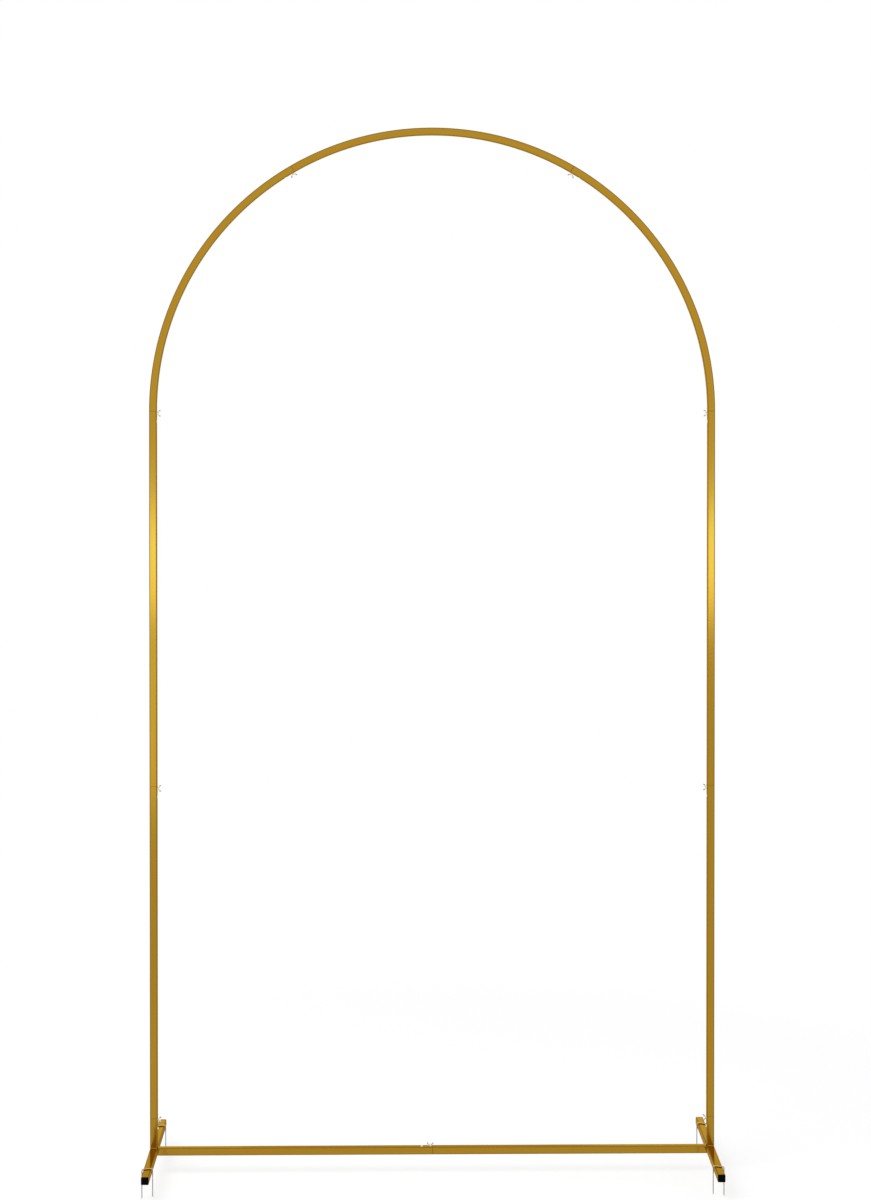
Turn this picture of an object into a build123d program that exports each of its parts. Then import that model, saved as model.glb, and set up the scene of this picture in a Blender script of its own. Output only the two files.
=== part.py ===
"""A garden arch of gold-coated square tube, in millimetres.

X runs along the arch, Y from its front to its back and Z up. The origin lies in the middle of the
base bar's underside, on the ground. The frame comes apart at nine slip joints: each has a narrow
spigot in a socket, a wing screw near the socket's mouth and a spring button further in.
"""

import os
from math import cos, degrees, radians, sin

from build123d import *

# The whole arch
arch_width = 1210.0  # over the outsides of the posts
arch_height = 2200.0  # from the ground to the top of the arc
foot_length = 380.0
post_joint_height = 792.0
foot_joint_height = 80.0
crown_angle = 60.0  # degrees of the half circle that the middle piece takes

# The square tube
tube_side = 16.0
tube_wall = 1.0
tube_corner = 1.2  # the flat across each outside corner, measured along one face

# A slip joint
slip_gap = 0.3
spigot_wall = 1.0
spigot_length = 36.0
spigot_root = 14.0  # the length that is held inside its own tube
bar_spigot_length = 34.0

# The wing screw and the nut that is welded on for it
screw_setback = 5.0  # from the seam to the screw
screw_radius = 2.0
thread_gap = 0.1
tip_gap = 0.1
nut_across = 7.0  # over two of its flats
nut_height = 1.5
hub_rise = 0.4  # from the nut to the hub
hub_radius = 3.0
hub_height = 3.8
wing_root = 0.5  # from the foot of the hub to the wings
wing_waist = 5.6
wing_waist_height = 1.9
wing_reach = 7.3  # from the screw's middle to a wing's tip
wing_height = 6.4  # from the foot of the hub to the wings' tips
wing_tip_width = 2.5
wing_tip_cut = 0.7
wing_thickness = 1.6

# The spring button and its clip
button_setback = 23.0  # from the seam to the button
button_radius = 3.0
button_proud = 1.2
button_play = 0.2
clip_thickness = 0.6
clip_width = 7.0
clip_length = 18.0
clip_gap = 0.1

# The plugs in the ends of the feet
cap_thickness = 2.0
plug_length = 11.0
plug_gap = 0.5
plug_wall = 1.4
plug_ribs = 2
rib_width = 1.2
rib_gap = 0.1

# The wire staples over the feet
wire_radius = 1.25  # over the corners of its eight sides
staple_width = 25.4  # over the legs
staple_depth = 44.0  # below the ground
staple_bend = 3.2
staple_from_end = 49.0
staple_turn = 20.0  # degrees that the crown is turned, with its outer leg to the front
seat_gap = 0.1
point_length = 4.0

# What follows from those sizes
half = tube_side / 2
bore = tube_side - 2 * tube_wall
spigot_side = bore - 2 * slip_gap
spigot_bore = spigot_side - 2 * spigot_wall
arc_radius = arch_width / 2 - half
spring_height = arch_height - half - arc_radius
arc_joint_angle = 90 - crown_angle / 2
bar_end = arc_radius - half
SIDES = {"left": -1, "right": 1}
ENDS = {"front": -1, "back": 1}
ROUND_SIDES = 12  # the small round pieces are many-sided, which keeps them light
WIRE_SIDES = 8


class Joint:
    """A seam between two straight tubes. Its stations past the seam lie in the socket."""

    def __init__(self, origin, into, inner):
        self.seam = Plane(origin=origin, x_dir=inner, z_dir=into)

    def at(self, distance):
        """The plane across the tube at a distance from the seam, its X towards the arch's inside."""
        return self.seam.offset(distance)

    def grow(self, section, length):
        """Makes a section at a station into a length of tube, towards the socket."""
        extrude(section, amount=length, dir=self.seam.z_dir)


class ArcJoint(Joint):
    """A seam on the half circle, whose tubes follow the curve."""

    def __init__(self, angle, turn):
        self.angle = angle
        self.turn = turn  # 1 where the socket lies anticlockwise of the seam, seen from the front

    def at(self, distance):
        angle = radians(self.angle) + self.turn * distance / arc_radius
        origin = (arc_radius * cos(angle), 0, spring_height + arc_radius * sin(angle))
        into = (-sin(angle) * self.turn, 0, cos(angle) * self.turn)
        return Plane(origin=origin, x_dir=(-cos(angle), 0, -sin(angle)), z_dir=into)

    def grow(self, section, length):
        axis = Axis((0, 0, spring_height), (0, -self.turn, 0))
        revolve(section, axis=axis, revolution_arc=degrees(length / arc_radius))


def upright_joint(side, height):
    """A seam across an upright tube, with the socket below it."""
    return Joint((side * arc_radius, 0, height), (0, 0, -1), (-side, 0, 0))


def square_section(plane, side, corner=0, hole=0):
    """A square across a tube, with its corners cut and a square hole through it where it has them."""
    with BuildSketch(plane) as section:
        Rectangle(side, side)
        if corner:
            chamfer(vertices(), corner)
        if hole:
            Rectangle(hole, hole, mode=Mode.SUBTRACT)
    return section.sketch


def add_tube(joint, start, length):
    """A run of tube from one station of the joint."""
    joint.grow(square_section(joint.at(start), tube_side, tube_corner, hole=bore), length)


def add_narrow_end(joint, start, length):
    """The part of a spigot that slides into the socket."""
    joint.grow(square_section(joint.at(start), spigot_side, hole=spigot_bore), length)


def add_spigot(joint, behind):
    """A narrow end with its hole for the button. Its root fills the tube that lies behind the seam."""
    behind.grow(square_section(behind.at(-spigot_root), bore, hole=spigot_bore), spigot_root)
    add_narrow_end(joint, 0, spigot_length)
    cut_button_hole(joint, button_play)


def on_face(station, height=half):
    """The plane on the tube's inner face at a station: X along the tube, Z away from the tube."""
    origin = station.origin + station.x_dir * height
    return Plane(origin=origin, x_dir=station.z_dir, z_dir=station.x_dir)


def drill(plane, radius, depth):
    """A round hole that goes back from the plane."""
    with BuildSketch(plane) as circle:
        Circle(radius)
    extrude(circle.sketch, amount=depth, dir=-plane.z_dir, mode=Mode.SUBTRACT)


def cut_button_hole(joint, play):
    """The hole for the spring button, through the inner wall alone."""
    face = on_face(joint.at(button_setback), height=half + tube_wall)
    drill(face, button_radius + play, half)


def add_socket(joint):
    """The welded nut for the wing screw and the hole for the button."""
    face = on_face(joint.at(screw_setback))
    with BuildSketch(face.offset(-tube_wall / 2)) as nut:
        RegularPolygon(nut_across / 2, 6, major_radius=False)
    extrude(nut.sketch, amount=tube_wall / 2 + nut_height, dir=face.z_dir)
    drill(face.offset(nut_height), screw_radius + thread_gap, nut_height + 2 * tube_wall)
    cut_button_hole(joint, 2 * button_play)


def save(piece, name):
    """Names a finished piece and writes its file."""
    piece.part.label = name
    export_step(piece.part, f"parts/{name}.step")


os.makedirs("parts", exist_ok=True)

foot_joints = {name: upright_joint(side, foot_joint_height) for name, side in SIDES.items()}
post_joints = {name: upright_joint(side, post_joint_height) for name, side in SIDES.items()}
spring_joints = {name: upright_joint(side, spring_height) for name, side in SIDES.items()}
arc_joints = {"left": ArcJoint(180 - arc_joint_angle, 1), "right": ArcJoint(arc_joint_angle, -1)}
arc_feet = {"left": ArcJoint(180, 1), "right": ArcJoint(0, -1)}
bar_joint = Joint((0, 0, half), (-1, 0, 0), (0, 0, 1))
joints = {"base_bar": bar_joint}
for name in SIDES:
    joints[f"foot_{name}"] = foot_joints[name]
    joints[f"post_{name}"] = post_joints[name]
    joints[f"spring_{name}"] = spring_joints[name]
    joints[f"arc_{name}"] = arc_joints[name]

# The half circle: the crown has a spigot at both ends, and each side piece takes one of them
side_arc = arc_radius * radians(arc_joint_angle)
crown_arc = arc_radius * radians(crown_angle)
with BuildPart() as arc_crown:
    add_tube(arc_joints["right"], -crown_arc, crown_arc)
    for name in SIDES:
        add_spigot(arc_joints[name], behind=arc_joints[name])
save(arc_crown, "arc_crown")

for name in SIDES:
    with BuildPart() as arc_side:
        add_tube(arc_joints[name], 0, side_arc)
        add_socket(arc_joints[name])
        add_spigot(spring_joints[name], behind=arc_feet[name])
    save(arc_side, f"arc_{name}")

# The posts: each tube's top is a socket and its lower end a spigot
for name in SIDES:
    with BuildPart() as upper_post:
        add_tube(spring_joints[name], 0, spring_height - post_joint_height)
        add_socket(spring_joints[name])
        add_spigot(post_joints[name], behind=post_joints[name])
    save(upper_post, f"upper_post_{name}")

    with BuildPart() as lower_post:
        add_tube(post_joints[name], 0, post_joint_height - foot_joint_height)
        add_socket(post_joints[name])
        add_spigot(foot_joints[name], behind=foot_joints[name])
    save(lower_post, f"lower_post_{name}")

# The bar on the ground between the feet: its halves meet in the middle
with BuildPart() as base_bar_left:
    add_tube(bar_joint, 0, bar_end)
    add_socket(bar_joint)
save(base_bar_left, "base_bar_left")

with BuildPart() as base_bar_right:
    add_tube(bar_joint, -bar_end, bar_end)
    add_spigot(bar_joint, behind=bar_joint)
save(base_bar_right, "base_bar_right")

# The feet: a tube along the ground, with an upright stub and a spigot for the bar welded to it
foot_tube_length = foot_length - 2 * cap_thickness
for name, side in SIDES.items():
    foot_end = Plane((side * arc_radius, -foot_tube_length / 2, half), x_dir=(1, 0, 0), z_dir=(0, 1, 0))
    bar_seat = Joint((side * bar_end, 0, half), (-side, 0, 0), (0, 0, 1))
    with BuildPart() as foot:
        add_tube(foot_joints[name], 0, foot_joint_height - half)
        add_narrow_end(bar_seat, -half, half + bar_spigot_length)
        extrude(square_section(foot_end, tube_side, tube_corner), foot_tube_length, mode=Mode.SUBTRACT)
        extrude(square_section(foot_end, tube_side, tube_corner, hole=bore), foot_tube_length)
        add_socket(foot_joints[name])
    save(foot, f"foot_{name}")

# The plugs: a flange that covers the tube's end, and a ribbed shell inside the tube
for name, side in SIDES.items():
    for end_name, end in ENDS.items():
        mouth = Plane(
            (side * arc_radius, end * foot_tube_length / 2, half), x_dir=(1, 0, 0), z_dir=(0, end, 0)
        )
        plug_side = bore - 2 * plug_gap
        rib_side = bore - 2 * rib_gap
        with BuildPart() as cap:
            extrude(square_section(mouth, tube_side, tube_corner), cap_thickness)
            extrude(square_section(mouth, plug_side, hole=plug_side - 2 * plug_wall), -plug_length)
            for rib in range(plug_ribs):
                place = mouth.offset(-plug_length * (rib + 1) / (plug_ribs + 1))
                extrude(square_section(place, rib_side, hole=plug_side - 2 * plug_wall), rib_width)
        save(cap, f"foot_cap_{name}_{end_name}")

# The staples: wire bent over the foot, its two legs cut to a point below the ground
leg_offset = staple_width / 2 - wire_radius
crown_height = tube_side + seat_gap + wire_radius
for name, side in SIDES.items():
    for end_name, end in ENDS.items():
        place = Vector(side * arc_radius, end * (foot_length / 2 - staple_from_end), 0)
        turn = radians(staple_turn)
        outward = Vector(side * cos(turn), -sin(turn), 0)
        flat = Plane(place, x_dir=outward, z_dir=outward.cross(Vector(0, 0, 1)))
        inner_tip = place - outward * leg_offset - Vector(0, 0, staple_depth)
        with BuildPart() as staple:
            with BuildLine(flat):
                FilletPolyline(
                    (-leg_offset, -staple_depth),
                    (-leg_offset, crown_height),
                    (leg_offset, crown_height),
                    (leg_offset, -staple_depth),
                    radius=staple_bend,
                )
            with BuildSketch(Plane(inner_tip, x_dir=outward, z_dir=(0, 0, 1))):
                RegularPolygon(wire_radius, WIRE_SIDES)
            sweep()
            with BuildSketch(flat):
                for leg in (-1, 1):
                    with BuildLine():
                        Polyline(
                            (leg * (leg_offset - wire_radius), -staple_depth),
                            (leg * (leg_offset - wire_radius), point_length - staple_depth),
                            (leg * (leg_offset + wire_radius), -staple_depth),
                            close=True,
                        )
                    make_face()
            extrude(amount=wire_radius, both=True, mode=Mode.SUBTRACT)
        save(staple, f"staple_{name}_{end_name}")

# The wing screws: a shank and a hub with two wings that lie in line with the tube
shank_tip = spigot_side / 2 + tip_gap
hub_foot = half + nut_height + hub_rise
hub_top = hub_foot + hub_height
wing_foot = hub_foot + wing_root
wing_top = hub_foot + wing_height
for name, joint in joints.items():
    middle = on_face(joint.at(screw_setback), height=0)
    across = Plane(middle.origin, x_dir=middle.x_dir, z_dir=-middle.y_dir)
    with BuildPart() as wing_screw:
        with BuildSketch(middle.offset(shank_tip)):
            RegularPolygon(screw_radius, ROUND_SIDES)
        extrude(amount=hub_foot - shank_tip)
        with BuildSketch(middle.offset(hub_foot)):
            RegularPolygon(hub_radius, ROUND_SIDES)
        extrude(amount=hub_height)
        with BuildSketch(across):
            with BuildLine():
                Polyline(
                    (0, wing_foot),
                    (hub_radius, wing_foot),
                    (wing_waist, hub_foot + wing_waist_height),
                    (wing_reach, wing_top - wing_tip_width),
                    (wing_reach, wing_top),
                    (wing_reach - wing_tip_width, wing_top),
                    (hub_radius - wing_root, hub_top),
                    (0, hub_top),
                    close=True,
                )
            make_face()
            chamfer(vertices().group_by(Axis.Y)[-1], wing_tip_cut)
            mirror(about=Plane.YZ)
        extrude(amount=wing_thickness / 2, both=True)
    save(wing_screw, f"wing_screw_{name}")

# The spring buttons: each stands on one leaf of a bent strip that grips the inside of the spigot
leaf = spigot_bore / 2 - clip_gap - clip_thickness / 2
for name, joint in joints.items():
    station = joint.at(button_setback)
    with BuildPart() as snap_button:
        with BuildSketch(Plane(station.origin, x_dir=station.z_dir, z_dir=station.y_dir)):
            with BuildLine():
                Polyline(
                    (-clip_length / 2, leaf),
                    (clip_length / 2, leaf),
                    (-clip_length / 2, -leaf),
                )
            trace(line_width=clip_thickness)
        extrude(amount=clip_width / 2, both=True)
        with BuildSketch(on_face(station, height=leaf)):
            RegularPolygon(button_radius, ROUND_SIDES)
        extrude(amount=half + button_proud - leaf)
    save(snap_button, f"snap_button_{name}")
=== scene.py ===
# %% [markdown]
# # A gold garden arch
#
# The arch is a frame of slim square tube: two posts, a half-round top in three bent tubes, a bar
# on the ground and two feet. It comes apart at nine slip joints, and each joint has a wing screw
# and a spring button. The CAD model gives the sizes and places. This lesson dresses it: tubes
# with rounded corners and open ends, cast wing screws, bent wire, moulded plugs, and a finish for
# each.

# %% Load the frame
from math import atan2, cos, hypot, pi, radians, sin, tau

import bmesh
import bpy
from mathutils import Matrix, Vector


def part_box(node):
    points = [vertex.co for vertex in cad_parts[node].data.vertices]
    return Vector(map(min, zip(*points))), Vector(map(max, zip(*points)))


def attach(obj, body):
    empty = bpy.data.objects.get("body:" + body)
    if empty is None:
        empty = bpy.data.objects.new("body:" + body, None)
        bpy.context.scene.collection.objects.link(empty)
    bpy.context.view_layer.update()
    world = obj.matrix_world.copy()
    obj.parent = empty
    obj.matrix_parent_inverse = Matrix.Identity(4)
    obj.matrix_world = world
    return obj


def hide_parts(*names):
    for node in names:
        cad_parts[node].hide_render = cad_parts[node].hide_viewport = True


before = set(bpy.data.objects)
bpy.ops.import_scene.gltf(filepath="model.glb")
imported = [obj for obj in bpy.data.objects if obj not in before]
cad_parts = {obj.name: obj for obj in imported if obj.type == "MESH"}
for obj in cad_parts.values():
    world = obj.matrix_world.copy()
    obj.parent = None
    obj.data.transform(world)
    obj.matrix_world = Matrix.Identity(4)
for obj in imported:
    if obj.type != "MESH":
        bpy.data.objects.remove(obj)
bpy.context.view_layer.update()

# %% [markdown]
# ## Sizes and places
#
# Blender works in metres, and the parts of a slip joint are easier to think of in millimetres, so
# the sizes below are numbers times MM. The large places aren't typed again. They are read from
# the boxes of the CAD nodes, so the lesson follows the CAD model when its width or its height
# changes.

# %% Sizes of the tube and of a slip joint
MM = 0.001
tube_side = 16 * MM
tube_wall = 1 * MM
tube_round = 2 * MM  # the radius of a tube's long edges
lip = 0.35 * MM  # how far the cut end of a tube is rounded
half = tube_side / 2
bore = tube_side - 2 * tube_wall
same_point = 0.001 * MM  # points closer than this are merged

screw_setback = 5 * MM  # from a seam to the wing screw
button_setback = 23 * MM  # from a seam to the spring button
spigot_side = 13.4 * MM
spigot_bore = 11.4 * MM
spigot_round = 1.2 * MM  # the radius of a spigot's long edges
spigot_length = 36 * MM
bar_spigot_length = 34 * MM
spigot_root = 14 * MM  # how deep a spigot is held in its own tube
root_side = bore - 0.1 * MM
root_round = 1 * MM
screw_hole = 2.1 * MM  # this hole and the next two are radii
button_hole = 3.4 * MM
spigot_hole = 3.2 * MM

# %% Places read from the CAD nodes
post_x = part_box("foot_right")[1].x - half
spring_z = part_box("upper_post_right")[1].z
post_seam_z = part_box("lower_post_right")[1].z
foot_seam_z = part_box("foot_right")[1].z
foot_tube_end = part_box("foot_right")[1].y
cap_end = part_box("foot_cap_right_back")[1].y
staple_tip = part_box("staple_left_front")[0].z
arc_seam_angle = radians(60)
bar_end = post_x - half
print(f"posts at x = {post_x:.3f}, arc centre at z = {spring_z:.3f}")
print(f"seams at z = {post_seam_z:.3f} and {foot_seam_z:.3f}")

# %% [markdown]
# ## The camera
#
# The photograph looks at the arch squarely from about five metres, from the height of a tall
# person's eyes, and its upright edges stay upright. A photographer gets that with an almost level
# camera whose lens is shifted down. The feet show where the camera stood: the nearer it is, the
# more they splay.

# %% Camera
eye = (-0.066, -5.184, 1.726)
dip, swing = 0.67, 0.8  # degrees down and to the right
camera_data = bpy.data.cameras.new("camera")
camera_data.sensor_width = 36
camera_data.lens = 72.7
camera_data.shift_y = -0.185
camera = bpy.data.objects.new("camera", camera_data)
bpy.context.scene.collection.objects.link(camera)
camera.location = eye
camera.rotation_euler = (radians(90 - dip), 0, radians(-swing))
bpy.context.scene.camera = camera
print("camera at", tuple(round(c, 3) for c in camera.location))

# %% [markdown]
# ## Shader nodes as sums
#
# A finish is a graph of nodes, and a graph is hard to read as code. Two small classes help. Value
# wraps a socket, so that 1 - mask or noise * 0.2 adds the Math node it needs. Nodes wraps a tree,
# and its method add makes any other node from its type, its settings and what goes into its
# sockets.


# %% Sockets that add and multiply
class Value:
    """A number that comes out of a socket. A sum with it adds its Math node."""

    def __init__(self, nodes, socket):
        self.nodes = nodes
        self.socket = socket

    def __add__(self, other):
        return self.nodes.math("ADD", self, other)

    def __radd__(self, other):
        return self.nodes.math("ADD", other, self)

    def __sub__(self, other):
        return self.nodes.math("SUBTRACT", self, other)

    def __rsub__(self, other):
        return self.nodes.math("SUBTRACT", other, self)

    def __mul__(self, other):
        return self.nodes.math("MULTIPLY", self, other)

    def __rmul__(self, other):
        return self.nodes.math("MULTIPLY", other, self)

    def __abs__(self):
        return self.nodes.math("ABSOLUTE", self)


# %% Trees that take nodes
class Nodes:
    """A node tree that is filled one call at a time."""

    def __init__(self, tree):
        self.tree = tree
        tree.nodes.clear()

    def add(self, kind, settings=None, inputs=None, output=0):
        """Adds a node: its settings first, then its inputs by index, name or identifier."""
        node = self.tree.nodes.new(kind)
        for setting, value in (settings or {}).items():
            setattr(node, setting, value)
        for key, value in (inputs or {}).items():
            socket = self.find(node.inputs, key)
            if isinstance(value, Value):
                self.tree.links.new(value.socket, socket)
            else:
                socket.default_value = value
        return Value(self, self.find(node.outputs, output)) if node.outputs else None

    def find(self, sockets, key):
        if isinstance(key, int):
            return sockets[key]
        return next((s for s in sockets if s.identifier == key), None) or sockets[key]

    def math(self, operation, first, second=0.0):
        return self.add("ShaderNodeMath", {"operation": operation}, {0: first, 1: second})

    def blend(self, factor, first, second):
        """A colour between two others."""
        inputs = {"Factor_Float": factor, "A_Color": first, "B_Color": second}
        return self.add("ShaderNodeMix", {"data_type": "RGBA"}, inputs, "Result_Color")

    def noise(self, where, scale, detail=2.0, roughness=0.5):
        """Soft random values from 0 to 1, with this many patches to the metre."""
        inputs = {"Vector": where, "Scale": scale, "Detail": detail, "Roughness": roughness}
        return self.add("ShaderNodeTexNoise", None, inputs, "Fac")

    def fade(self, value, low, high):
        """0 up to low, 1 from high on, and a soft step between."""
        settings = {"interpolation_type": "SMOOTHSTEP"}
        inputs = {"Value": value, "From Min": low, "From Max": high}
        return self.add("ShaderNodeMapRange", settings, inputs, "Result")

    def stretch(self, where, sizes):
        """Coordinates that run faster or slower along each axis."""
        return self.add("ShaderNodeMapping", None, {"Vector": where, "Scale": sizes})

    def split(self, where):
        """The three numbers of a vector."""
        parts = self.add("ShaderNodeSeparateXYZ", None, {"Vector": where}).socket.node.outputs
        return [Value(self, part) for part in parts]


# %% A material and its tree
def opaque(name):
    """An empty material and its tree."""
    material = bpy.data.materials.new(name)
    material.use_nodes = True
    return material, Nodes(material.node_tree)


def surface(nodes, height, strength, inputs):
    """Ends a finish: a bump whose height is in metres, the shader and the output."""
    bump = {"Strength": strength, "Distance": 1.0, "Height": height}
    normal = nodes.add("ShaderNodeBump", None, bump)
    shader = nodes.add("ShaderNodeBsdfPrincipled", None, {**inputs, "Normal": normal})
    nodes.add("ShaderNodeOutputMaterial", None, {"Surface": shader})


# %% [markdown]
# ## The gold coat
#
# The tubes are steel with a thin gold coat, smooth enough to mirror a soft lamp as a blurred
# glow. It is a metal, so its reflections are gold too. The colour is painted darker along the
# long edges and at the cut ends: painted shade, standing in for the darker room that the rounded
# edges mirror and for the shade in the seams. The drawn steel shows through as faint lines that
# run along the tube, and the wet coat dried with a little orange peel. Seen along its surface, a
# coat of gold flakes turns matte instead of mirroring the room, so the Metallic value falls where
# the surface faces away. To follow a bent tube, the pattern reads an attribute: where each point
# would lie if the tube were straight, with X and Y across the tube and Z along it.


# %% Colours and sizes of the gold coat
deep_gold, pale_gold = (0.362, 0.214, 0.0185, 1), (0.402, 0.239, 0.0220, 1)
red_gold, worn_gold = (0.392, 0.200, 0.0180, 1), (0.27, 0.144, 0.0125, 1)
# The first colour on the next line is painted shade, for the long edges and the cut ends.
painted_shade_gold, gold_tint = (0.115, 0.066, 0.010, 1), (0.74, 0.58, 0.44, 1)
edge_starts, edge_full = 5.2 * MM, 7.2 * MM  # from the middle of a tube's face
end_full, end_stops = 0.6 * MM, 1.2 * MM  # from a cut end
line_depth, dimple_depth = 1.5e-6, 5e-6  # in metres
mirrors_to, matte_from = 0.74, 0.92  # how far a surface faces away, from 0 to 1


def drawn_out(nodes, place, across, along, detail):
    """Noise with so many patches to the metre across the tube and along it."""
    return nodes.noise(nodes.stretch(place, (across, across, along)), 1.0, detail=detail)


# %% Gold coat
def gold_coat(name, peel):
    """The coat as it dried on smooth tube, or peel times as rough."""
    material, nodes = opaque(name)
    place = nodes.add("ShaderNodeAttribute", {"attribute_name": "unrolled"}, None, "Vector")
    x, y, along = nodes.split(place)
    corner = nodes.fade(nodes.math("MINIMUM", abs(x), abs(y)), edge_starts, edge_full)
    cut_end = 1.0 - nodes.fade(abs(along), end_full, end_stops)
    clouds = drawn_out(nodes, place, across=30, along=4, detail=3.0)
    streaks = nodes.fade(drawn_out(nodes, place, across=240, along=3, detail=1.0), 0.35, 0.65)
    lines = drawn_out(nodes, place, across=2600, along=9, detail=2.0)
    dimples = nodes.noise(place, 420.0, detail=2.0)
    coat = nodes.blend(clouds, deep_gold, pale_gold)
    warm = nodes.blend(streaks * 0.8, coat, red_gold)
    worn = nodes.blend(lines * 0.25, warm, worn_gold)
    # Painted shade: the colour darkens towards the long edges and the cut ends, for dark
    # reflections and the shade in the seams.
    painted_shade = nodes.math("MAXIMUM", corner * (0.36 + clouds * 0.3), cut_end * 0.45)
    colour = nodes.blend(painted_shade, worn, painted_shade_gold)
    rough = 0.095 + clouds * 0.04 + lines * 0.02 + corner * 0.06
    height = lines * (line_depth * peel) + dimples * (dimple_depth * peel)
    facing = nodes.add("ShaderNodeLayerWeight", None, {"Blend": 0.5}, "Facing")
    metal = 1.0 - nodes.fade(facing, mirrors_to, matte_from)
    inputs = {"Base Color": colour, "Metallic": metal, "Roughness": rough}
    inputs |= {"Specular IOR Level": 0.0, "Specular Tint": gold_tint}
    surface(nodes, height, 0.6, inputs)
    return material


gold = gold_coat("gold_coat", peel=1.0)
gold_weld = gold_coat("gold_over_weld", peel=6.0)
print("gold coats:", gold.name, "and", gold_weld.name)

# %% [markdown]
# ## The bare metals
#
# The staples are galvanised wire: grey zinc with pale and dark crystals and no polish, and the
# tops of their crowns are painted gold, a painted reflection of the feet beneath them. The wing
# screws are cast and plated, a warm white and slightly pebbled, with ears painted darker as
# painted shade. The spring strips and buttons are straw-coloured spring steel. One recipe makes
# all three, with its own colours and grain, and a function may say where it takes another colour.


# %% Where a bare metal takes another colour
# Where the wing screws take painted shade on their ears.
def on_the_ears(nodes):
    """1 on the ears of a wing screw, measured along the tube from its middle."""
    unrolled = nodes.add("ShaderNodeAttribute", {"attribute_name": "unrolled"}, None, "Vector")
    from_screw = abs(nodes.split(unrolled)[2] - screw_setback)
    hub_end, ear_start = 3.4 * MM, 4.8 * MM
    return nodes.fade(from_screw, hub_end, ear_start)


# Where the staple crowns take a painted reflection of the gold feet.
def on_the_crown(nodes):
    """Nearly 1 where a staple's wire lies over its foot."""
    height = nodes.split(nodes.add("ShaderNodeTexCoord", None, None, "Object"))[2]
    most = 0.9
    return nodes.fade(height, 0.8 * tube_side, tube_side) * most


# %% Bare metals
def bare_metal(name, dark, light, grain, rough, pits, where=None, other=None):
    """A metal with so many crystals to the metre and pits so many metres deep."""
    material, nodes = opaque(name)
    place = nodes.add("ShaderNodeTexCoord", None, None, "Object")
    crystals = nodes.noise(place, grain, detail=4.0, roughness=0.65)
    colour = nodes.blend(nodes.fade(crystals, 0.3, 0.7), dark, light)
    if where:
        colour = nodes.blend(where(nodes), colour, other)
    fine = nodes.noise(place, grain * 6, detail=2.0)
    height = crystals * pits + fine * (pits * 0.3)
    shine = rough + crystals * 0.1
    surface(nodes, height, 0.7, {"Base Color": colour, "Metallic": 1.0, "Roughness": shine})
    return material


# The third colour is a painted reflection of the gold foot, for the tops of the staple crowns.
grey, pale_grey, painted_gold_reflection = (0.3, 0.31, 0.32, 1), (0.42, 0.42, 0.43, 1), (0.62, 0.43, 0.12, 1)
finish = {"grain": 380.0, "rough": 0.16, "pits": 8e-6}
zinc = bare_metal("zinc_coat", grey, pale_grey, **finish, where=on_the_crown, other=painted_gold_reflection)
# The third colour is painted shade, for the ears of the wing screws.
bright, white, painted_ear_shade = (0.83, 0.77, 0.65, 1), (0.94, 0.89, 0.79, 1), (0.31, 0.3, 0.27, 1)
finish = {"grain": 700.0, "rough": 0.1, "pits": 1e-5}
plated = bare_metal("plating", bright, white, **finish, where=on_the_ears, other=painted_ear_shade)
straw, pale_straw = (0.79, 0.73, 0.6, 1), (0.9, 0.85, 0.74, 1)
finish = {"grain": 900.0, "rough": 0.14, "pits": 4e-6}
spring_steel = bare_metal("spring_steel", straw, pale_straw, **finish)
print("metals:", zinc.name, plated.name, spring_steel.name)

# %% [markdown]
# ## The black plugs
#
# The feet end in moulded plugs, so black that the photograph shows no detail in them. Moulded
# plastic has a fine sandy grain, and handling has scuffed it a little.


# %% Black plastic
jet, scuffed = (0.0009, 0.0009, 0.0012, 1), (0.003, 0.003, 0.0035, 1)


def moulded_black():
    material, nodes = opaque("moulded_black")
    place = nodes.add("ShaderNodeTexCoord", None, None, "Object")
    sand = nodes.noise(place, 2600.0, detail=2.0)
    scuffs = nodes.fade(nodes.noise(place, 240.0, detail=4.0), 0.52, 0.75)
    colour = nodes.blend(scuffs * 0.5, jet, scuffed)
    rough = 0.46 + scuffs * 0.16 + sand * 0.08
    inputs = {"Base Color": colour, "Roughness": rough, "Specular IOR Level": 0.03}
    surface(nodes, sand * 2e-5, 0.5, inputs)
    return material


black = moulded_black()
print("plastic:", black.name)

# %% [markdown]
# ## Seams
#
# Every small part belongs to a slip joint, so a joint is the best place to measure from. A seam
# gives a frame at any distance along its tube: X towards the inside of the arch, Z into the tube
# that takes the other one in. A seam on the half circle gives the same frames along the curve, so
# a wing screw needs to be made only once.


# %% Axes from two directions
def axes(x, z):
    """A turn to axes with this X and this Z."""
    return Matrix((x, z.cross(x), z)).transposed().to_4x4()


# %% A seam between straight tubes
class Seam:
    """The place where two straight tubes meet."""

    def __init__(self, origin, into, inner):
        self.frame = Matrix.Translation(origin) @ axes(Vector(inner), Vector(into))

    def at(self, distance):
        """The frame across the tube at a distance from the seam."""
        return self.frame @ Matrix.Translation((0, 0, distance))

    def face(self, distance):
        """The same place with X along the tube and Z out of its inner face."""
        turn = Matrix(((0, 0, 1, 0), (0, -1, 0, 0), (1, 0, 0, 0), (0, 0, 0, 1)))
        return self.at(distance) @ turn

    def grow(self, bm, loop, length, steps):
        """Draws a loop of edges along the tube and returns the loop at the end."""
        made = bmesh.ops.extrude_edge_only(bm, edges=loop)["geom"]
        bmesh.ops.translate(bm, vec=self.frame.col[2].xyz * length, verts=verts_of(made))
        return edges_of(made)

    def unroll(self, point):
        """Where a point would lie if the tube were straight."""
        return self.frame.inverted() @ point


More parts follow.
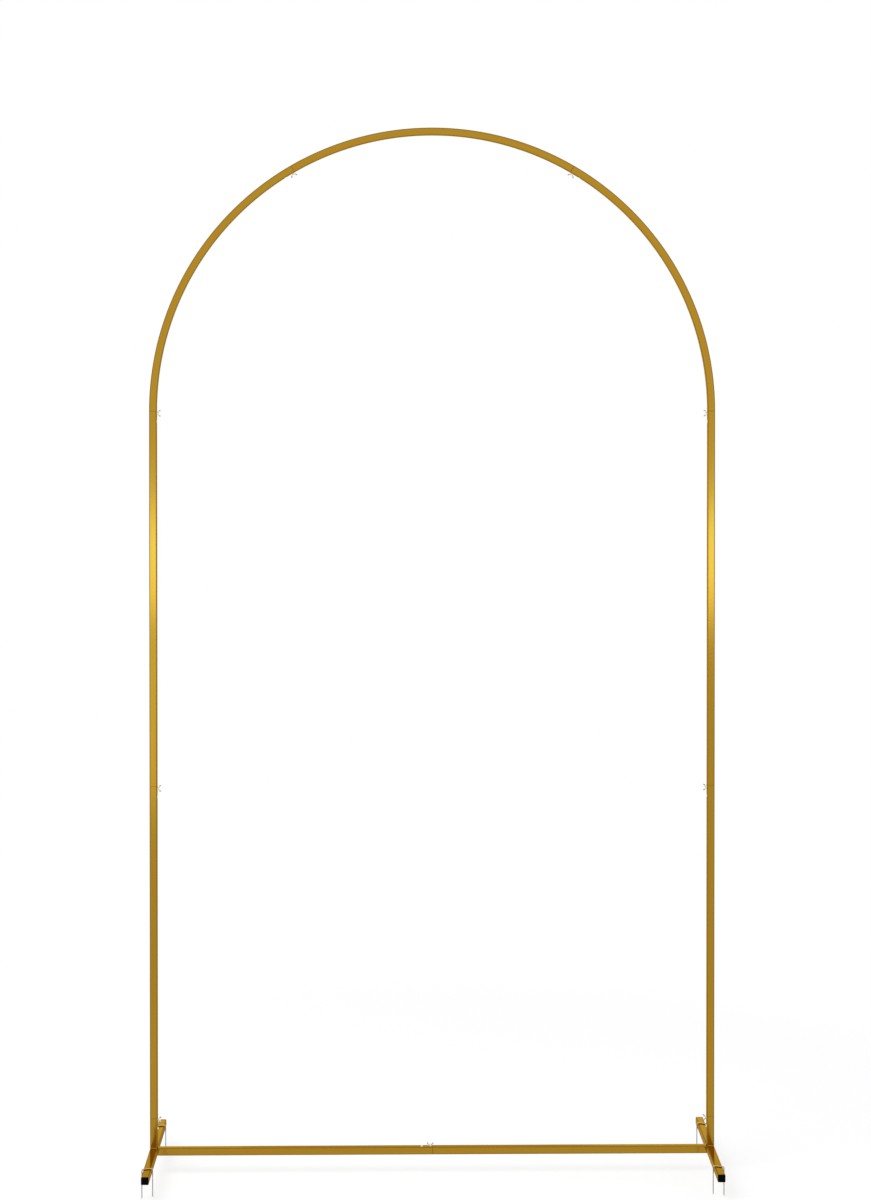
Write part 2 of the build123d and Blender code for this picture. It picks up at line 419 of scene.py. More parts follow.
# %% A seam on the half circle
class ArcSeam(Seam):
    """The place where two bent tubes meet, at an angle on the half circle."""

    def __init__(self, angle, turn):
        self.angle = angle
        self.turn = turn  # 1 where the far tube lies anticlockwise, seen from the front

    def at(self, distance):
        a = self.angle + self.turn * distance / post_x
        into = Vector((-sin(a) * self.turn, 0, cos(a) * self.turn))
        inner = Vector((-cos(a), 0, -sin(a)))
        origin = (post_x * cos(a), 0, spring_z + post_x * sin(a))
        return Matrix.Translation(origin) @ axes(inner, into)

    def grow(self, bm, loop, length, steps):
        turned = {"cent": (0, 0, spring_z), "axis": (0, -self.turn, 0), "angle": length / post_x}
        made = bmesh.ops.spin(bm, geom=loop, steps=steps, use_merge=False, **turned)["geom_last"]
        return edges_of(made)

    def unroll(self, point):
        a = atan2(point.z - spring_z, point.x)
        a += tau if a < -pi / 2 else 0
        across = post_x - hypot(point.x, point.z - spring_z)
        return Vector((across, -self.turn * point.y, (a - self.angle) * self.turn * post_x))


# %% What an operator made
def verts_of(made):
    return [g for g in made if isinstance(g, bmesh.types.BMVert)]


def edges_of(made):
    return [g for g in made if isinstance(g, bmesh.types.BMEdge)]


# %% All the seams
SIDES = {"left": -1, "right": 1}
ENDS = {"front": -1, "back": 1}


def upright(side, height):
    return Seam((side * post_x, 0, height), (0, 0, -1), (-side, 0, 0))


bar_seam = Seam((0, 0, half), (-1, 0, 0), (0, 0, 1))
arc_seams = {"left": ArcSeam(pi - arc_seam_angle, 1), "right": ArcSeam(arc_seam_angle, -1)}
arc_feet = {"left": ArcSeam(pi, 1), "right": ArcSeam(0, -1)}
seams = {"base_bar": bar_seam}
for name, side in SIDES.items():
    seams[f"foot_{name}"] = upright(side, foot_seam_z)
    seams[f"post_{name}"] = upright(side, post_seam_z)
    seams[f"spring_{name}"] = upright(side, spring_z)
    seams[f"arc_{name}"] = arc_seams[name]
print("seams:", ", ".join(seams))

# %% [markdown]
# ## Making a piece of the frame
#
# Each piece ends in the same way. Its doubles are merged and its faces turned outwards, and it
# becomes an object at the origin with its place in its mesh. It rides on the CAD body, takes its
# material and hides the CAD nodes that it stands for. A weighted normal keeps the flat faces of a
# tube looking flat beside its rounded edges.


# %% From a bmesh to an object
def clean(bm):
    """Merges doubles and turns the faces outwards."""
    bmesh.ops.remove_doubles(bm, verts=bm.verts, dist=same_point)
    bmesh.ops.recalc_face_normals(bm, faces=bm.faces)


def to_object(bm, name):
    """An object in the scene with this shape. The bmesh is freed."""
    mesh = bpy.data.meshes.new(name)
    bm.to_mesh(mesh)
    bm.free()
    made = bpy.data.objects.new(name, mesh)
    bpy.context.scene.collection.objects.link(made)
    return made


# %% From a bmesh to a piece
sharp_from = radians(40)


def make_piece(bm, name, material, replaces=(), seam=None):
    """Adds a piece. One with a seam also knows where its points lie on a straight tube."""
    clean(bm)
    open_edges = sum(len(e.link_faces) != 2 for e in bm.edges)
    piece = to_object(bm, name)
    mesh = piece.data
    mesh.shade_smooth()
    mesh.set_sharp_from_angle(angle=sharp_from)
    mesh.materials.append(material)
    if seam:
        unrolled = mesh.attributes.new("unrolled", "FLOAT_VECTOR", "POINT")
        for vertex, place in zip(mesh.vertices, unrolled.data):
            place.vector = seam.unroll(vertex.co)
    weighted = piece.modifiers.new("flat faces stay flat", "WEIGHTED_NORMAL")
    weighted.keep_sharp = True
    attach(piece, "root")
    if replaces:
        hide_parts(*replaces)
    note = f", {open_edges} open edges" if open_edges else ""
    print(f"{name}: {len(mesh.polygons)} faces{note}")
    return piece


# %% [markdown]
# ## Tubes
#
# A tube is a loop that travels. The loop starts as a square with rounded corners, runs along the
# outside, closes in over the cut end with a small lip, comes back along the bore and is bridged
# to its start. On a post the loop is extruded, and on the arc it is spun, so both kinds of tube
# come from one function. That gives open ends with a real wall, which a solid bar wouldn't have.


# %% A loop across a tube
def outline(bm, frame_here, side, corner=tube_round, segments=5):
    """A square with rounded corners, as a loop of edges."""
    made = bmesh.ops.create_grid(bm, x_segments=1, y_segments=1, size=side / 2)["verts"]
    rounding = {"affect": "VERTICES", "segments": segments, "profile": 0.5, "material": -1}
    corners = bmesh.ops.bevel(bm, geom=made, offset=corner, **rounding)["verts"]
    face = corners[0].link_faces[0]
    loop = list(face.edges)
    bmesh.ops.delete(bm, geom=[face], context="FACES_ONLY")
    bmesh.ops.transform(bm, matrix=frame_here, verts=corners)
    return loop


# %% Moves of the loop: slide it along and make it larger or smaller
def move_loop(bm, loop, seam, here, stops):
    """Takes a loop from one distance and size through the others."""
    for there in stops:
        made = bmesh.ops.extrude_edge_only(bm, edges=loop)["geom"]
        factor = there[1] / here[1]
        change = Matrix.Translation((0, 0, there[0] - here[0]))
        change = change @ Matrix.Diagonal((factor, factor, 1, 1))
        matrix = seam.at(here[0]) @ change @ seam.at(here[0]).inverted()
        bmesh.ops.transform(bm, matrix=matrix, verts=verts_of(made))
        loop, here = edges_of(made), there
    return loop


# %% A tube with open ends
def add_tube(bm, seam, start, length, side=tube_side, hole=bore, corner=tube_round, steps=48):
    """A tube from one distance along a seam's tube, with a rounded lip at both ends."""
    end = start + length
    # Each end: round the outer edge, flat across the wall, and a slant at the bore.
    far_end = [(end - 0.3 * lip, side - 0.6 * lip), (end, side - 2 * lip)]
    far_end += [(end, hole + 2 * lip), (end - lip, hole)]
    near_end = [(start, hole + 2 * lip), (start, side - 2 * lip)]
    near_end += [(start + 0.3 * lip, side - 0.6 * lip)]
    first = outline(bm, seam.at(start + lip), side, corner)
    loop = seam.grow(bm, first, length - 2 * lip, steps)
    loop = move_loop(bm, loop, seam, (end - lip, side), far_end)
    loop = seam.grow(bm, loop, 2 * lip - length, steps)
    loop = move_loop(bm, loop, seam, (start + lip, hole), near_end)
    bmesh.ops.bridge_loops(bm, edges=loop + first)


# %% [markdown]
# ## Holes
#
# A socket has two holes in its inner face: one for the wing screw and one for the spring button.
# A Boolean modifier cuts pegs out of the tube, and the result is taken as a new bmesh, so that no
# helper object stays behind.


# %% Pegs and holes
def add_peg(bm, seam, distance, radius, low, high):
    """A round bar through a tube's inner face, between two heights from the middle."""
    matrix = seam.face(distance) @ Matrix.Translation((0, 0, (low + high) / 2))
    size = {"radius1": radius, "radius2": radius, "depth": high - low, "segments": 32}
    bmesh.ops.create_cone(bm, cap_ends=True, matrix=matrix, **size)


def applied(thing, *helpers):
    """An object with its modifiers applied, as a bmesh. It and its helpers are removed."""
    depsgraph = bpy.context.evaluated_depsgraph_get()
    result = bmesh.new()
    result.from_mesh(bpy.data.meshes.new_from_object(thing.evaluated_get(depsgraph)))
    for used in (thing, *helpers):
        bpy.data.objects.remove(used)
    return result


def combined(first, second, operation):
    """Two closed shapes, cut from each other or made one."""
    clean(first)
    clean(second)
    base, tool = to_object(first, "shape"), to_object(second, "shape")
    modifier = base.modifiers.new("combined", "BOOLEAN")
    modifier.object, modifier.operation, modifier.solver = tool, operation, "EXACT"
    return applied(base, tool)


def with_socket_holes(bm, seam):
    """A tube with the holes of the socket that it has at this seam."""
    pegs = bmesh.new()
    low, high = half - 2 * tube_wall, half + tube_wall
    add_peg(pegs, seam, screw_setback, screw_hole, low, high)
    add_peg(pegs, seam, button_setback, button_hole, low, high)
    return combined(bm, pegs, "DIFFERENCE")


# %% [markdown]
# ## The half circle
#
# The top is bent in three pieces of sixty degrees, which is how it fits in a carton. A bender
# draws the tube round a former, so the section stays square and the long edges stay round.
# Spinning the loop about the middle of the circle does the same.

# %% Arc tubes
crown_length = post_x * (pi - 2 * arc_seam_angle)
crown = bmesh.new()
add_tube(crown, arc_seams["right"], -crown_length, crown_length)
make_piece(crown, "crown_tube", gold, ["arc_crown"], arc_seams["right"])
for name in SIDES:
    arc = bmesh.new()
    add_tube(arc, arc_seams[name], 0, post_x * arc_seam_angle)
    arc = with_socket_holes(arc, arc_seams[name])
    make_piece(arc, f"arc_tube_{name}", gold, [f"arc_{name}"], arc_seams[name])

# %% [markdown]
# ## The posts and the bar on the ground
#
# These are straight lengths of the same tube. The top of each post tube is a socket, so its holes
# are near its top, on the face that looks into the arch. The bar's holes are on its upper face.

# %% Post tubes
for name in SIDES:
    lengths = {"spring": spring_z - post_seam_z, "post": post_seam_z - foot_seam_z}
    for joint, place in (("spring", "upper"), ("post", "lower")):
        seam = seams[f"{joint}_{name}"]
        post = bmesh.new()
        add_tube(post, seam, 0, lengths[joint])
        post = with_socket_holes(post, seam)
        node = f"{place}_post_{name}"
        make_piece(post, f"{place}_tube_{name}", gold, [node], seam)

# %% Bar tubes
bar = bmesh.new()
add_tube(bar, bar_seam, 0, bar_end)
bar = with_socket_holes(bar, bar_seam)
make_piece(bar, "bar_tube_left", gold, ["base_bar_left"], bar_seam)
bar = bmesh.new()
add_tube(bar, bar_seam, -bar_end, bar_end)
make_piece(bar, "bar_tube_right", gold, ["base_bar_right"], bar_seam)

# %% [markdown]
# ## The feet
#
# A foot is a short tube along the ground with a stub welded upright on its middle. The bar pushes
# on to a narrow spigot that is welded to the foot's inner side. The stub and the foot are
# separate lengths of tube on the real frame too, so they are separate pieces here.

# %% Foot tubes, stubs and bar spigots
for name, side in SIDES.items():
    along_foot = Seam((side * post_x, -foot_tube_end, half), (0, 1, 0), (0, 0, 1))
    foot = bmesh.new()
    add_tube(foot, along_foot, 0, 2 * foot_tube_end)
    make_piece(foot, f"foot_tube_{name}", gold, [f"foot_{name}"], along_foot)

    seam = seams[f"foot_{name}"]
    stub = bmesh.new()
    add_tube(stub, seam, 0, foot_seam_z - tube_side)
    stub = with_socket_holes(stub, seam)
    make_piece(stub, f"foot_stub_{name}", gold, [f"foot_{name}"], seam)

    seat = Seam((side * bar_end, 0, half), (-side, 0, 0), (0, 0, 1))
    spigot = bmesh.new()
    add_tube(spigot, seat, 0, bar_spigot_length, spigot_side, spigot_bore, spigot_round)
    make_piece(spigot, f"bar_spigot_{name}", gold, [f"foot_{name}"], seat)

# %% [markdown]
# ## The spigots
#
# Inside every joint a narrower tube slides into the socket. Its root is held in its own tube, and
# on the arc it is bent with it. It doesn't show while the arch stands, but it is what holds it
# up, and its hole takes the spring button.

# %% Spigots
behind = dict(seams)
for name in SIDES:
    behind[f"spring_{name}"] = arc_feet[name]
carriers = {"base_bar": "base_bar_right"}
for name in SIDES:
    carriers[f"foot_{name}"] = f"lower_post_{name}"
    carriers[f"post_{name}"] = f"upper_post_{name}"
    carriers[f"spring_{name}"] = f"arc_{name}"
    carriers[f"arc_{name}"] = "arc_crown"
for joint, seam in seams.items():
    spigot = bmesh.new()
    root = {"side": root_side, "hole": spigot_bore, "corner": root_round, "steps": 3}
    add_tube(spigot, behind[joint], -spigot_root, spigot_root, **root)
    slide = {"side": spigot_side, "hole": spigot_bore, "corner": spigot_round, "steps": 6}
    add_tube(spigot, seam, 0, spigot_length, **slide)
    peg = bmesh.new()
    add_peg(peg, seam, button_setback, spigot_hole, spigot_side / 2 - 2 * tube_wall, half)
    spigot = combined(spigot, peg, "DIFFERENCE")
    make_piece(spigot, f"spigot_{joint}", gold, [carriers[joint]], seam)

# %% [markdown]
# ## Making one part nine times
#
# The parts of a joint are made once, in the frame of a tube's inner face: X along the tube, Z out
# of the face, and the origin in the middle of the tube. Each copy is then moved to its seam, and
# the move goes into its mesh, so that its object stays at the origin.


# %% Copies at every seam
def at_every_seam(bm, distance, title, material, node=None):
    """Nine copies. Each stands for its own node, or for the piece that carries the joint."""
    pattern = bpy.data.meshes.new("pattern")
    bmesh.ops.remove_doubles(bm, verts=bm.verts, dist=same_point)
    bm.to_mesh(pattern)
    bm.free()
    for joint, seam in seams.items():
        copy = bmesh.new()
        copy.from_mesh(pattern)
        bmesh.ops.transform(copy, matrix=seam.face(distance), verts=copy.verts)
        stands_for = [f"{node}_{joint}"] if node else [carriers[joint]]
        make_piece(copy, f"{title}_{joint}", material, stands_for, seam)
    bpy.data.meshes.remove(pattern)


# %% A profile turned about an upright axis
def turned(profile, segments=40):
    """A closed shape from points (radius, height) that start and end on the axis."""
    bm = bmesh.new()
    verts = [bm.verts.new((radius, 0, height)) for radius, height in profile]
    edges = [bm.edges.new(pair) for pair in zip(verts, verts[1:])]
    circle = {"cent": (0, 0, 0), "axis": (0, 0, 1), "angle": tau, "steps": segments}
    bmesh.ops.spin(bm, geom=edges, use_merge=True, **circle)
    bmesh.ops.remove_doubles(bm, verts=bm.verts, dist=same_point)
    return bm


# %% [markdown]
# ## Nuts and their welds
#
# A square tube with a one millimetre wall has too little metal for a thread, so a hexagon nut is
# welded over the hole. The nut is a hexagon and a circle with as many points, bridged into a ring
# and raised. The weld is a rope of overlapping drops: a spun ring whose thickness swells and
# shrinks.

# %% Hexagon nuts
nut_across, nut_height = 7 * MM, 1.5 * MM
nut_edge, steep = 0.3 * MM, radians(50)  # edges steeper than this are rounded
nut = bmesh.new()
corner_radius = nut_across / 2 / cos(radians(30))
bmesh.ops.create_circle(nut, cap_ends=False, segments=6, radius=corner_radius)
bmesh.ops.subdivide_edges(nut, edges=nut.edges, cuts=3)
bmesh.ops.create_circle(nut, cap_ends=False, segments=24, radius=screw_hole)
bmesh.ops.bridge_loops(nut, edges=nut.edges)
raised = bmesh.ops.extrude_face_region(nut, geom=list(nut.faces))["geom"]
bmesh.ops.translate(nut, vec=(0, 0, nut_height), verts=verts_of(raised))
rims = [e for e in nut.edges if e.is_manifold and e.calc_face_angle() > steep]
rounding = {"affect": "EDGES", "segments": 2, "profile": 0.5, "material": -1}
bmesh.ops.bevel(nut, geom=rims, offset=nut_edge, **rounding)
bmesh.ops.translate(nut, vec=(0, 0, half), verts=nut.verts)
at_every_seam(nut, screw_setback, "nut", plated)

# %% Welds round the nuts
weld = bmesh.new()
bead_radius, bead_circle = 0.5 * MM, 4.1 * MM
tilt = Matrix.Translation((bead_circle, 0, half)) @ Matrix.Rotation(pi / 2, 4, "X")
bmesh.ops.create_circle(weld, cap_ends=False, segments=10, radius=bead_radius, matrix=tilt)
round_the_nut = {"cent": (0, 0, half), "axis": (0, 0, 1), "angle": tau, "steps": 72}
bmesh.ops.spin(weld, geom=list(weld.edges), use_merge=True, **round_the_nut)
for vert in weld.verts:
    turn = atan2(vert.co.y, vert.co.x)
    middle = Vector((bead_circle * cos(turn), bead_circle * sin(turn), half))
    swell = 1 + 0.16 * sin(14 * turn) + 0.08 * sin(5 * turn + 1)
    vert.co = middle + (vert.co - middle) * swell
at_every_seam(weld, screw_setback, "nut_weld", gold_weld)

# %% [markdown]
# ## Welds on the feet
#
# A bead runs across the front and the back of each stub, where it stands on the foot. It is drawn
# like a tube: a round loop that is moved along and made larger and smaller at every drop.

# %% Beads under the stubs
bead_length, drops = 14.4 * MM, 12
bead_tip, bead_start = 1.3 * MM, 1.7 * MM  # radii of the loop, from here on
bead_drop, bead_waist, bead_wander = 2.05 * MM, 1.75 * MM, 0.12 * MM
for name, side in SIDES.items():
    beads = bmesh.new()
    for end in ENDS.values():
        corner_of_stub = (side * post_x - bead_length / 2, end * half, tube_side)
        run = Seam(corner_of_stub, (1, 0, 0), (0, 0, 1))
        pitch = bead_length / drops
        circle = {"cap_ends": False, "segments": 12, "radius": bead_tip, "matrix": run.at(0)}
        made = bmesh.ops.create_circle(beads, **circle)
        first = list({e for v in made["verts"] for e in v.link_edges})
        stops = [(0.25 * pitch, bead_start)]
        for drop in range(drops):
            wander = bead_wander * sin(2.3 * drop)
            stops.append(((drop + 0.55) * pitch, bead_drop + wander))
            stops.append(((drop + 0.95) * pitch, bead_waist + wander))
        stops.append((bead_length, bead_tip))
        last = move_loop(beads, first, run, (0, bead_tip), stops)
        for rim in (first, last):
            bmesh.ops.edgeloop_fill(beads, edges=rim)
    node = f"foot_{name}"
    make_piece(beads, f"foot_weld_{name}", gold_weld, [node], seams[node])

# %% [markdown]
# ## The wing screws
#
# A wing screw is cast: a round hub with two ears for thumb and finger, and a threaded shank. The
# hub is turned from a profile. An ear is an outline that is extruded and rounded on its rim. The
# three are made one shape, and a fine remesh with a little smoothing rounds the inside corners as
# a mould does. The thread is a ridge that is spun while it rises, so it is a true helix.

# %% The hub and its ears
hub_rise = 0.4 * MM  # the room between the nut and the hub
hub_foot = half + nut_height + hub_rise
hub_profile = [(0, 0), (2.6, 0), (2.95, 0.4), (2.95, 2.4)]
hub_profile += [(2.7, 3.3), (2.1, 3.75), (1.2, 3.75), (0, 3.45)]
head = turned([(radius * MM, hub_foot + height * MM) for radius, height in hub_profile])
ear_outline = [(1.9, 0.7), (3.6, 0.7), (5.5, 1.9), (6.9, 3.9), (7.15, 5.5), (6.4, 6.3)]
ear_outline += [(5.1, 6.0), (3.9, 4.3), (1.9, 3.3)]
ear_thickness, ear_edge = 1.5 * MM, 0.45 * MM
for side in (-1, 1):
    ear = bmesh.new()
    corners = [(side * x * MM, -ear_thickness / 2, hub_foot + z * MM) for x, z in ear_outline]
    face = ear.faces.new([ear.verts.new(corner) for corner in corners])
    made = bmesh.ops.extrude_face_region(ear, geom=[face])["geom"]
    bmesh.ops.translate(ear, vec=(0, ear_thickness, 0), verts=verts_of(made))
    bmesh.ops.recalc_face_normals(ear, faces=ear.faces)
    bmesh.ops.bevel(ear, geom=list(ear.edges), offset=ear_edge, **rounding)
    head = combined(head, ear, "UNION")

# %% One casting
voxel, smoothings = 0.2 * MM, 5
casting = to_object(head, "casting")
remesh = casting.modifiers.new("mould", "REMESH")
remesh.mode, remesh.voxel_size = "VOXEL", voxel
screw = applied(casting)
every_axis = {"use_axis_x": True, "use_axis_y": True, "use_axis_z": True}
for _ in range(smoothings):
    bmesh.ops.smooth_vert(screw, verts=screw.verts, factor=0.5, **every_axis)
print("casting:", len(screw.faces), "faces")

# %% The shank and its thread
shank_tip, shank_root = spigot_side / 2 + 0.1 * MM, hub_foot + 0.5 * MM
core_radius, tip_radius, tip_slope = 1.6 * MM, 1.25 * MM, 0.35 * MM
pitch, turns, steps = 0.7 * MM, 3, 72
core = [(0, shank_tip), (tip_radius, shank_tip), (core_radius, shank_tip + tip_slope)]
core += [(core_radius, shank_root), (0, shank_root)]
shank = turned(core, segments=24)
ridge = [(1.5, 0.0), (2.0, 0.22), (2.0, 0.3), (1.5, 0.52)]
corners = [(radius * MM, 0, shank_tip + (0.3 + height) * MM) for radius, height in ridge]
face = shank.faces.new([shank.verts.new(corner) for corner in corners])
rise = {"cent": (0, 0, 0), "axis": (0, 0, 1), "dvec": (0, 0, pitch * turns / steps)}
bmesh.ops.spin(shank, geom=[face], angle=tau * turns, steps=steps, use_merge=False, **rise)
bmesh.ops.recalc_face_normals(shank, faces=shank.faces)
pattern = bpy.data.meshes.new("pattern")
shank.to_mesh(pattern)
shank.free()
screw.from_mesh(pattern)
bpy.data.meshes.remove(pattern)
at_every_seam(screw, screw_setback, "screw", plated, "wing_screw")

# %% [markdown]
# ## The spring buttons
#
# A button stands on one leaf of a bent steel strip inside the spigot. It is pressed in to slide
# the tubes together and snaps out through both holes. The button is turned with a domed top, and
# the strip is an edge drawn along its route and then given its thickness.

# %% Buttons and their strips
button_proud = 1.2 * MM
top = half + button_proud
leaf = spigot_bore / 2 - 0.4 * MM  # the middle of the strip that carries the button
dome = [(0, 0), (1.3, -0.09), (2.2, -0.34), (2.75, -0.75), (2.98, -1.3)]
profile = [(radius * MM, top + drop * MM) for radius, drop in dome]
button_radius = profile[-1][0]
button = turned([*profile, (button_radius, leaf), (0, leaf)], segments=32)
route = [(-9, 5.3), (7.6, 5.3), (8.5, 5.1), (8.85, 4.7), (8.6, 4.2), (7.6, 3.6), (-9, -5.2)]
strip_width, strip_thickness = 7 * MM, 0.6 * MM
strip_end = route[0][0] * MM
ends = [button.verts.new((strip_end, side * strip_width / 2, leaf)) for side in (-1, 1)]
strip, loop = [], [button.edges.new(ends)]
for (x, z), (next_x, next_z) in zip(route, route[1:]):
    made = bmesh.ops.extrude_edge_only(button, edges=loop)["geom"]
    step = ((next_x - x) * MM, 0, (next_z - z) * MM)
    bmesh.ops.translate(button, vec=step, verts=verts_of(made))
    strip += [g for g in made if isinstance(g, bmesh.types.BMFace)]
    loop = edges_of(made)
bmesh.ops.solidify(button, geom=strip, thickness=strip_thickness)
at_every_seam(button, button_setback, "button", spring_steel, "snap_button")

# %% [markdown]
# ## The plugs
#
# A plug has a flange that covers the end of the foot and a ribbed shell that grips inside it. The
# flange is a block with rounded corners and a softer rim, and the shell and ribs are short tubes.

# %% Plugs in the feet
# The flange: how deep, as a share of its thickness, and how much narrower, in millimetres.
flange = [(0.3, 0), (0.55, 0), (0.82, 0.5), (0.96, 1.4), (1, 2.6)]
flange_foot = tube_side - 0.2 * MM
plug_length, plug_side, plug_bore, plug_round = 11 * MM, 13 * MM, 10.2 * MM, 1.2 * MM
rib_width, rib_side, rib_bore = 1.2 * MM, 13.8 * MM, 12.4 * MM
rib_places = (-7.5 * MM, -3.8 * MM)
for name, side in SIDES.items():
    for end_name, end in ENDS.items():
        mouth = Seam((side * post_x, end * foot_tube_end, half), (0, end, 0), (0, 0, 1))
        thickness = cap_end - foot_tube_end
        plug = bmesh.new()
        loop = outline(plug, mouth.at(0), flange_foot, tube_round)
        stops = [(share * thickness, tube_side - less * MM) for share, less in flange]
        last = move_loop(plug, loop, mouth, (0, flange_foot), stops)
        for rim in (loop, last):
            bmesh.ops.edgeloop_fill(plug, edges=rim)
        add_tube(plug, mouth, -plug_length, plug_length, plug_side, plug_bore, plug_round)
        for rib in rib_places:
            add_tube(plug, mouth, rib, rib_width, rib_side, rib_bore, plug_round)
        node = f"foot_cap_{name}_{end_name}"
        make_piece(plug, f"plug_{name}_{end_name}", black, [node], mouth)

# %% [markdown]
# ## The ground staples
#
# A staple is one length of galvanised wire, bent twice. A round loop starts at one point, runs up
# the leg, is spun round the first bend, crosses the foot, turns down and runs to the other point.
# Each point is cut on a slant with a plane, as side cutters leave it.

# %% Wire over the feet
wire_radius, bend = 1.17 * MM, 3.2 * MM
wire_gap, leg_offset = 0.13 * MM, 11.45 * MM
crown_height = tube_side + wire_gap + wire_radius
staple_from_end, staple_turn = 49 * MM, radians(20)
point_length = 4 * MM


def add_staple(bm):
    """A staple that stands in the XZ plane, with its points at staple_tip."""
    start = Matrix.Translation((-leg_offset, 0, staple_tip))
    bmesh.ops.create_circle(bm, cap_ends=False, segments=16, radius=wire_radius, matrix=start)
    first = list(bm.edges)
    shoulder = crown_height - bend
    rise, across = (0, 0, shoulder - staple_tip), (2 * leg_offset - 2 * bend, 0, 0)
    fall = (0, 0, staple_tip - shoulder)
    quarter = {"axis": (0, 1, 0), "angle": pi / 2, "steps": 8, "use_merge": False}
    loop = first
    for move, bend_x in ((rise, bend - leg_offset), (across, leg_offset - bend), (fall, None)):
        made = bmesh.ops.extrude_edge_only(bm, edges=loop)["geom"]
        bmesh.ops.translate(bm, vec=move, verts=verts_of(made))
        loop = edges_of(made)
        if bend_x is not None:
            centre = (bend_x, 0, shoulder)
            made = bmesh.ops.spin(bm, geom=loop, cent=centre, **quarter)["geom_last"]
            loop = edges_of(made)
    for rim in (first, loop):
        bmesh.ops.edgeloop_fill(bm, edges=rim)
    for side in (-1, 1):
        verts = [v for v in bm.verts if v.co.x * side > 0 and v.co.z < 0]
        edges = {e for v in verts for e in v.link_edges}
        leg = [*verts, *edges, *{f for e in edges for f in e.link_faces}]
        tip = (side * (leg_offset + wire_radius), 0, staple_tip)
        cut = {"plane_co": tip, "clear_outer": True}
        cut["plane_no"] = Vector((-point_length * side, 0, -2 * wire_radius)).normalized()
        bmesh.ops.bisect_plane(bm, geom=leg, dist=same_point, **cut)
        bmesh.ops.holes_fill(bm, edges=[e for e in bm.edges if e.is_boundary])


for name, side in SIDES.items():
    for end_name, end in ENDS.items():
        staple = bmesh.new()
        add_staple(staple)
        outward = Vector((side * cos(staple_turn), -sin(staple_turn), 0))
        middle = Matrix.Translation((side * post_x, end * (cap_end - staple_from_end), 0))
        turn = axes(outward, Vector((0, 0, 1)))
        bmesh.ops.transform(staple, matrix=middle @ turn, verts=staple.verts)
        node = f"staple_{name}_{end_name}"
        make_piece(staple, f"wire_{name}_{end_name}", zinc, [node])

# %% [markdown]
# ## The studio
#
# The arch stands in plain soft light on a white floor. The floor lies at the staples' points,
# which on a lawn would be pushed into the ground. Near the arch it is a lit white surface that
# keeps the shadow, and further off it fades into the white of the background. The camera and the
# polished tubes see it whiter than it is as a light, so it doesn't have to be lit until it
# glares.

# %% What the camera sees, directly or mirrored in metal
def seen_directly(nodes):
    """1 for a ray that comes from the camera or from a polished surface."""
    by_camera = nodes.add("ShaderNodeLightPath", None, None, "Is Camera Ray")
    in_metal = nodes.add("ShaderNodeLightPath", None, None, "Is Glossy Ray")
    return nodes.math("MAXIMUM", by_camera, in_metal)


# %% Floor
floor_z, floor_reach = staple_tip - 0.5 * MM, 60
lit_to, plain_from = 0.8, 1.7  # metres from the middle of the bar
plain_share = 0.7  # how far the lit part, as seen, is already plain white
as_light, as_seen = (0.79, 0.79, 0.79, 1), (0.99, 0.99, 0.99, 1)
floor_shape = bmesh.new()
bmesh.ops.create_grid(floor_shape, x_segments=1, y_segments=1, size=floor_reach)
bmesh.ops.translate(floor_shape, vec=(0, 0, floor_z), verts=floor_shape.verts)
floor = to_object(floor_shape, "floor")
floor_white, nodes = opaque("floor_white")
place = nodes.add("ShaderNodeTexCoord", None, None, "Object")
distance = nodes.add("ShaderNodeVectorMath", {"operation": "LENGTH"}, {0: place}, "Value")
seen = seen_directly(nodes)
paper = nodes.blend(seen, as_light, as_seen)
lit = nodes.add("ShaderNodeBsdfDiffuse", None, {"Color": paper})
plain = nodes.add("ShaderNodeEmission", None, {"Color": (1, 1, 1, 1), "Strength": 1.0})
away = nodes.math("MAXIMUM", nodes.fade(distance, lit_to, plain_from), seen * plain_share)
mixed = nodes.add("ShaderNodeMixShader", None, {"Fac": away, 1: lit, 2: plain})
nodes.add("ShaderNodeOutputMaterial", None, {"Surface": mixed})
floor.data.materials.append(floor_white)
print("floor at z =", round(floor_z, 4))

# %% [markdown]
# The world is white where the camera or a reflection sees it. As a light it is dimmer overhead,
# and a soft lamp up there makes up for it and gives the shadow a direction. The other lamps are
# there to be mirrored. A post is a long flat mirror, so a cool strip in front of the arch shows
# in it as a glow at mid height. The strip is three lamps, one above the other, faint at the top
# and warmer at the bottom. A dim panel behind it lifts the gold above the glow, and reflectors do
# the same for the left post and for the tops of the feet. Where two of them overlap, they stand
# at different depths, because two lamps in one plane would hide each other in a mirror.

# %% World
dim_from, dim_to, dimming = 0.45, 0.95, 0.55  # how high a direction points, and what it loses
world = bpy.data.worlds.new("studio")
world.use_nodes = True
bpy.context.scene.world = world
nodes = Nodes(world.node_tree)
direction = nodes.add("ShaderNodeTexCoord", None, None, "Generated")
overhead = nodes.fade(nodes.split(direction)[2], dim_from, dim_to)
strength = nodes.math("MAXIMUM", seen_directly(nodes), 1.0 - overhead * dimming)
sky = nodes.add("ShaderNodeBackground", None, {"Color": (1, 1, 1, 1), "Strength": strength})
nodes.add("ShaderNodeOutputWorld", None, {"Surface": sky})


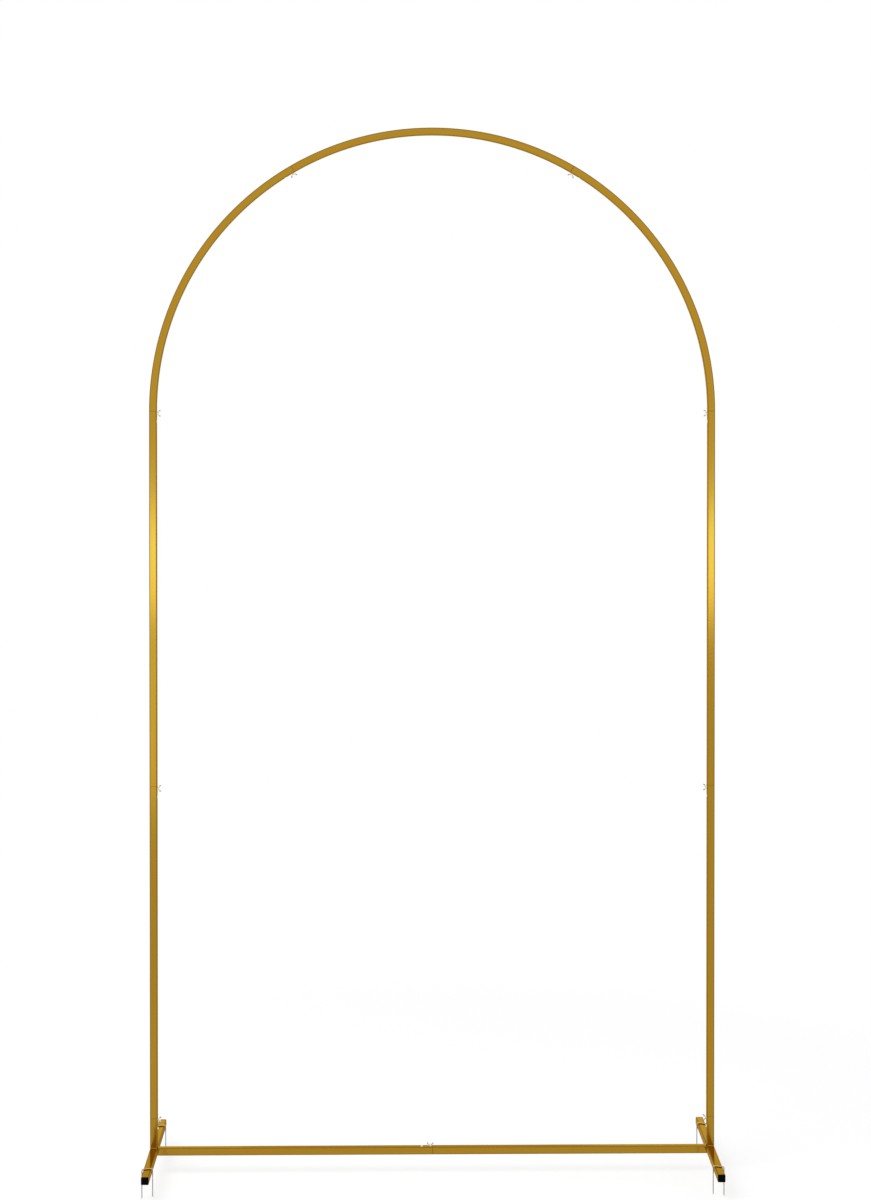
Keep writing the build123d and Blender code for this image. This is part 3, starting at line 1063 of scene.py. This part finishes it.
# %% Lamps
def add_lamp(name, place, aim, size, power, glossy=True, colour=(1, 1, 1)):
    """A soft lamp of this width and height in metres and this power in watts."""
    width, height = size
    data = bpy.data.lights.new(name, "AREA")
    data.shape, data.size, data.size_y = "RECTANGLE", width, height
    data.energy, data.color = power, colour
    lamp = bpy.data.objects.new(name, data)
    bpy.context.scene.collection.objects.link(lamp)
    lamp.location = place
    lamp.rotation_euler = (Vector(aim) - Vector(place)).to_track_quat("-Z", "Y").to_euler()
    lamp.visible_camera, lamp.visible_glossy = False, glossy
    print(f"{name}: {width} by {height} m")


add_lamp("overhead_softbox", (-2.2, -3.0, 4.6), (0, 0, 0.6), (3.0, 3.0), 175, glossy=False)

# %% A strip of three lamps: the middle of each, its height, its power and its colour
lamp_x, strip_y, panel_y, strip_length = 0.05, -4.2, -4.5, 3.4
blue, pale_blue = (0.44, 0.64, 1), (0.62, 0.76, 0.98)
sky_white, sea_green = (0.8, 0.93, 1), (0.7, 1, 0.9)
strip = {
    "top": (1.2, 0.17, 1.0, blue),
    "middle": (0.987, 0.255, 9.0, blue),
    "bottom": (0.774, 0.17, 4.4, pale_blue),
}
for part, (z, height, power, colour) in strip.items():
    place, aim = (lamp_x, strip_y, z), (lamp_x, 0, z)
    add_lamp(f"strip_{part}", place, aim, (strip_length, height), power, colour=colour)

# %% The panel and the reflectors
panel_z, low_z = 1.771, 0.16
add_lamp("front_panel", (lamp_x, panel_y, panel_z), (lamp_x, 0, panel_z), (3.2, 2.06), 3.86)
sheet = {"place": (-1.33, strip_y, low_z), "aim": (-1.08, 0, low_z), "size": (1.42, 0.87)}
add_lamp("low_reflector", **sheet, power=2.7, colour=sky_white)
for side in SIDES.values():
    sheet = {"place": (side * 1.1, 4.5, 1.28), "aim": (side * 0.6, 0, 0), "size": (0.8, 0.4)}
    add_lamp("back_reflector", **sheet, power=0.8, colour=sea_green)

# %% [markdown]
# ## Standard colours
#
# The view transform is Standard, so a colour comes out as it is written.

# %% Finish
bpy.context.scene.view_settings.view_transform = "Standard"
